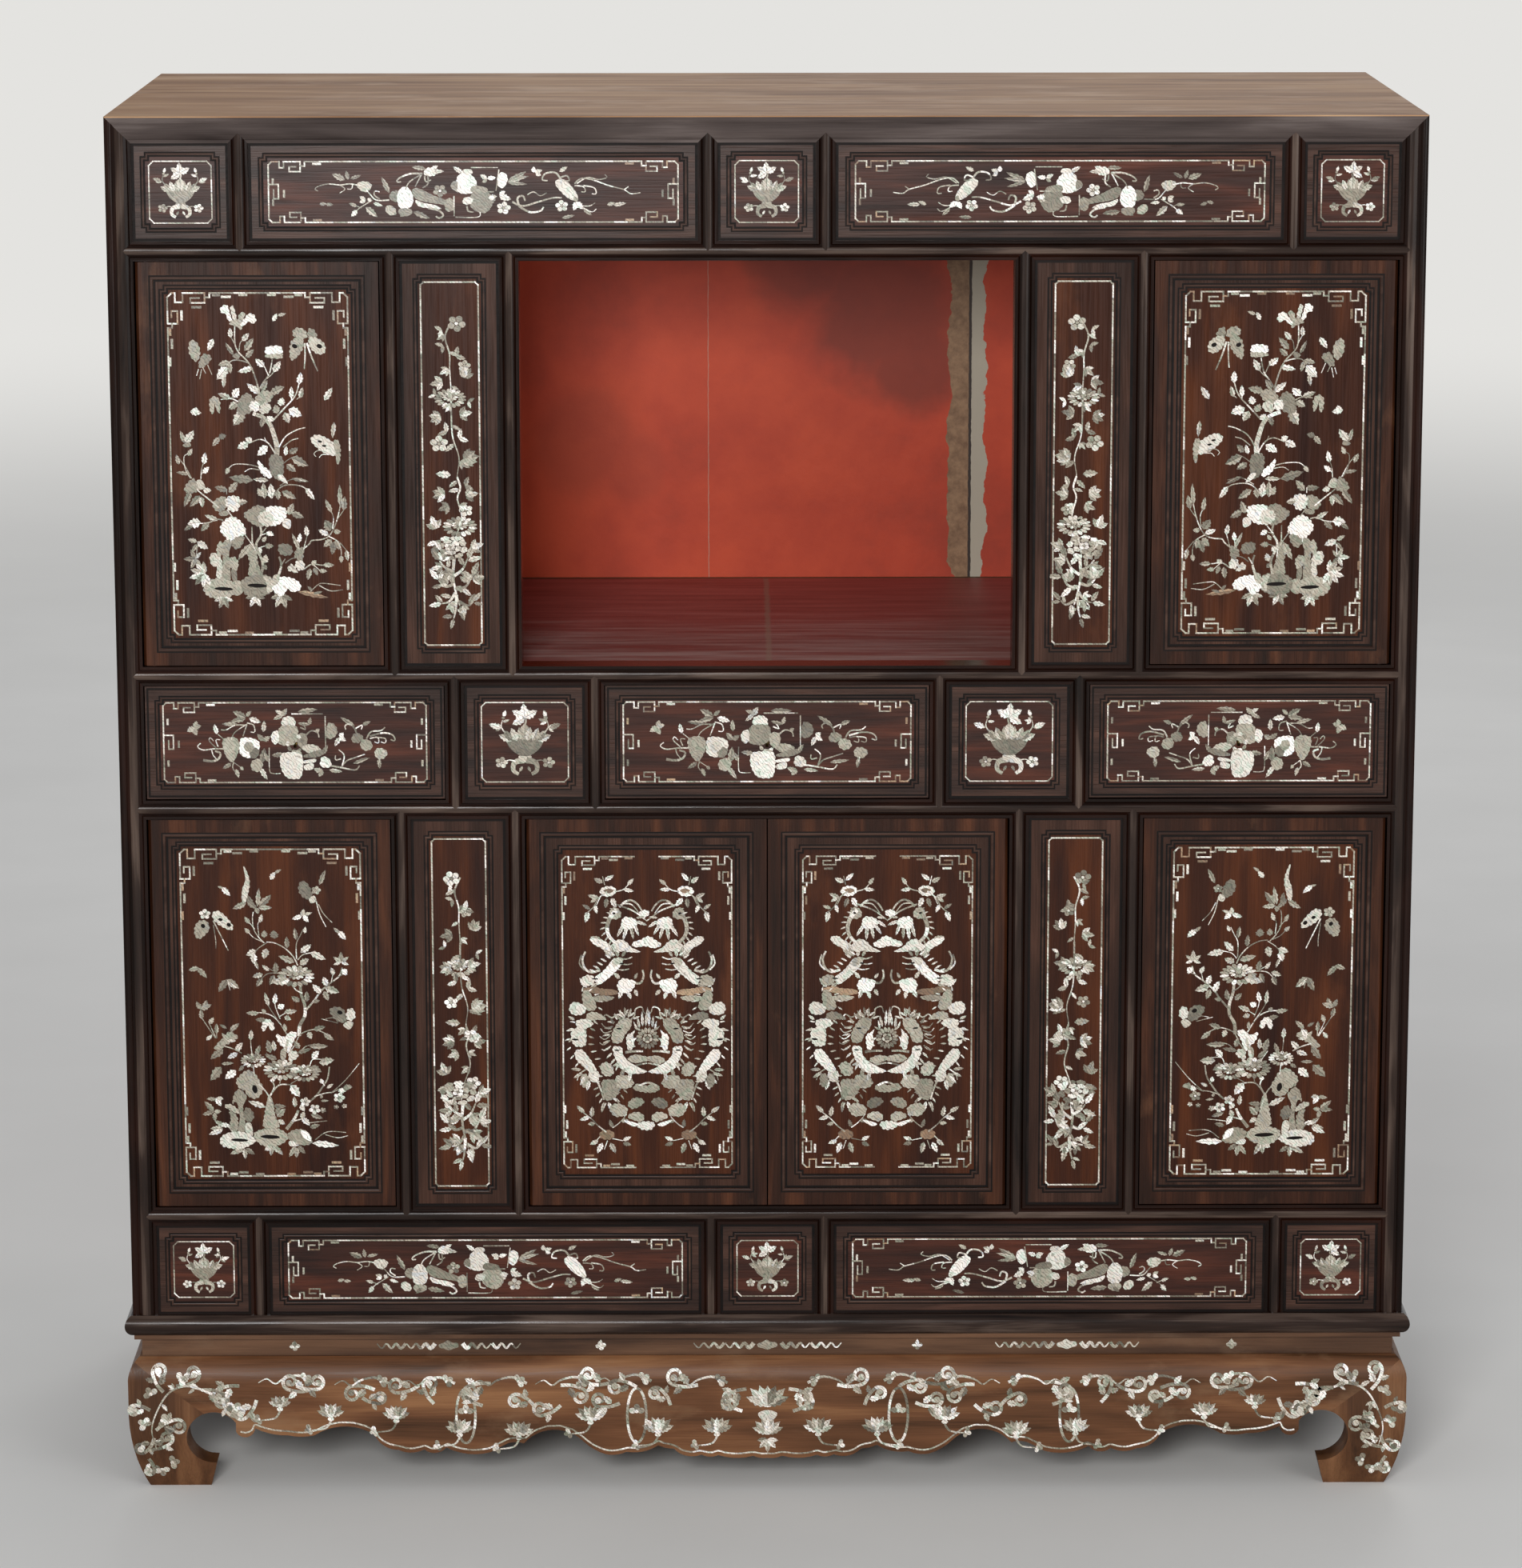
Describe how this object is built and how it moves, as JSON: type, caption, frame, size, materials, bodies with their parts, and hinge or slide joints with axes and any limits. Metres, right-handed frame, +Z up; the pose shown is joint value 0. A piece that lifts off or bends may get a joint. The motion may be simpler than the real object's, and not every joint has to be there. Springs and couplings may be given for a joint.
{
  "type": "inlaid cabinet",
  "caption": "Wide dark wood cabinet on a low scrolled stand: mother-of-pearl inlaid panels, pivoted doors, drawers with locks and a central open bay",
  "frame": {"origin": "on the floor under the middle of the whole", "axes": "+Z up, +Y from the face of the cabinet to its back, +X to the right seen from the front"},
  "size_m": [1.214, 0.534, 1.3],
  "materials": {
    "dark_frame": "dark waxed hardwood",
    "inlaid_panel": "polished rosewood inlaid with mother-of-pearl",
    "door_frame": "polished rosewood",
    "stand_wood": "rubbed hardwood inlaid with mother-of-pearl",
    "plain_wood": "unpolished softwood",
    "side_wood": "dark stained and waxed",
    "worn_top": "worn and faded",
    "red_lacquer": "old red lacquer",
    "drawer_wood": "bare planed softwood",
    "lock_brass": "dull cast brass"
  },
  "bodies": {
    "cabinet": {"front_posts": "dark_frame", "back_posts": "plain_wood", "top_frame": "dark_frame", "top_boards": "worn_top", "upper_rail": "dark_frame", "drawer_top_rail": "dark_frame", "drawer_bottom_rail": "dark_frame", "plinth_rail": "dark_frame", "base_frame": "dark_frame", "bottom_boards": "plain_wood", "frieze_muntins": "dark_frame", "upper_muntins": "dark_frame", "drawer_muntins": "dark_frame", "lower_muntins": "dark_frame", "plinth_muntins": "dark_frame", "frieze_panels": "inlaid_panel", "upper_narrow_panels": "inlaid_panel", "drawer_row_panels": "inlaid_panel", "lower_narrow_panels": "inlaid_panel", "plinth_panels": "inlaid_panel", "side_rails": "plain_wood", "side_panels": "side_wood", "back_rails": "plain_wood", "upper_back_boards": "red_lacquer", "lower_back_boards": "plain_wood", "niche_floor": "plain_wood", "cupboard_floor": "plain_wood", "partitions": "plain_wood", "drawer_runners": "plain_wood", "stand_waist": "stand_wood", "stand_front_apron": "stand_wood", "stand_back_apron": "stand_wood", "stand_side_aprons": "stand_wood", "stand_front_feet": "stand_wood", "stand_back_feet": "stand_wood"},
    "upper_left_door": {"upper_left_door_frame": "door_frame", "upper_left_door_panel": "inlaid_panel"},
    "upper_right_door": {"upper_right_door_frame": "door_frame", "upper_right_door_panel": "inlaid_panel"},
    "lower_left_door": {"lower_left_door_frame": "door_frame", "lower_left_door_panel": "inlaid_panel"},
    "lower_right_door": {"lower_right_door_frame": "door_frame", "lower_right_door_panel": "inlaid_panel"},
    "centre_left_door": {"centre_left_door_frame": "door_frame", "centre_left_door_panel": "inlaid_panel"},
    "centre_right_door": {"centre_right_door_frame": "door_frame", "centre_right_door_panel": "inlaid_panel"},
    "left_drawer": {"left_drawer_front": "inlaid_panel", "left_drawer_box": "drawer_wood", "left_drawer_lock": "lock_brass"},
    "left_lock_bolt": {"left_drawer_bolt": "lock_brass"},
    "centre_drawer": {"centre_drawer_front": "inlaid_panel", "centre_drawer_box": "drawer_wood", "centre_drawer_lock": "lock_brass"},
    "centre_lock_bolt": {"centre_drawer_bolt": "lock_brass"},
    "right_drawer": {"right_drawer_front": "inlaid_panel", "right_drawer_box": "drawer_wood", "right_drawer_lock": "lock_brass"},
    "right_lock_bolt": {"right_drawer_bolt": "lock_brass"}
  },
  "joints": [
    {"name": "upper_left_door_swing", "type": "hinge", "parent": "cabinet", "child": "upper_left_door", "pos_m": [-0.5658, -0.2505, 0.98175], "axis": [0, 0, -1], "range_deg": [0, 100]},
    {"name": "upper_right_door_swing", "type": "hinge", "parent": "cabinet", "child": "upper_right_door", "pos_m": [0.5658, -0.2505, 0.98175], "axis": [0, 0, 1], "range_deg": [0, 100]},
    {"name": "lower_left_door_swing", "type": "hinge", "parent": "cabinet", "child": "lower_left_door", "pos_m": [-0.5658, -0.2505, 0.464], "axis": [0, 0, -1], "range_deg": [0, 100]},
    {"name": "lower_right_door_swing", "type": "hinge", "parent": "cabinet", "child": "lower_right_door", "pos_m": [0.5658, -0.2505, 0.464], "axis": [0, 0, 1], "range_deg": [0, 100]},
    {"name": "centre_left_door_swing", "type": "hinge", "parent": "cabinet", "child": "centre_left_door", "pos_m": [-0.2148, -0.2505, 0.464], "axis": [0, 0, -1], "range_deg": [0, 100]},
    {"name": "centre_right_door_swing", "type": "hinge", "parent": "cabinet", "child": "centre_right_door", "pos_m": [0.2148, -0.2505, 0.464], "axis": [0, 0, 1], "range_deg": [0, 100]},
    {"name": "left_drawer_slide", "type": "slide", "parent": "cabinet", "child": "left_drawer", "axis": [0, -1, 0], "range_m": [0, 0.3]},
    {"name": "left_bolt_lift", "type": "slide", "parent": "left_drawer", "child": "left_lock_bolt", "axis": [0, 0, 1], "range_m": [0, 0.008]},
    {"name": "centre_drawer_slide", "type": "slide", "parent": "cabinet", "child": "centre_drawer", "axis": [0, -1, 0], "range_m": [0, 0.3]},
    {"name": "centre_bolt_lift", "type": "slide", "parent": "centre_drawer", "child": "centre_lock_bolt", "axis": [0, 0, 1], "range_m": [0, 0.008]},
    {"name": "right_drawer_slide", "type": "slide", "parent": "cabinet", "child": "right_drawer", "axis": [0, -1, 0], "range_m": [0, 0.3]},
    {"name": "right_bolt_lift", "type": "slide", "parent": "right_drawer", "child": "right_lock_bolt", "axis": [0, 0, 1], "range_m": [0, 0.008]}
  ]
}
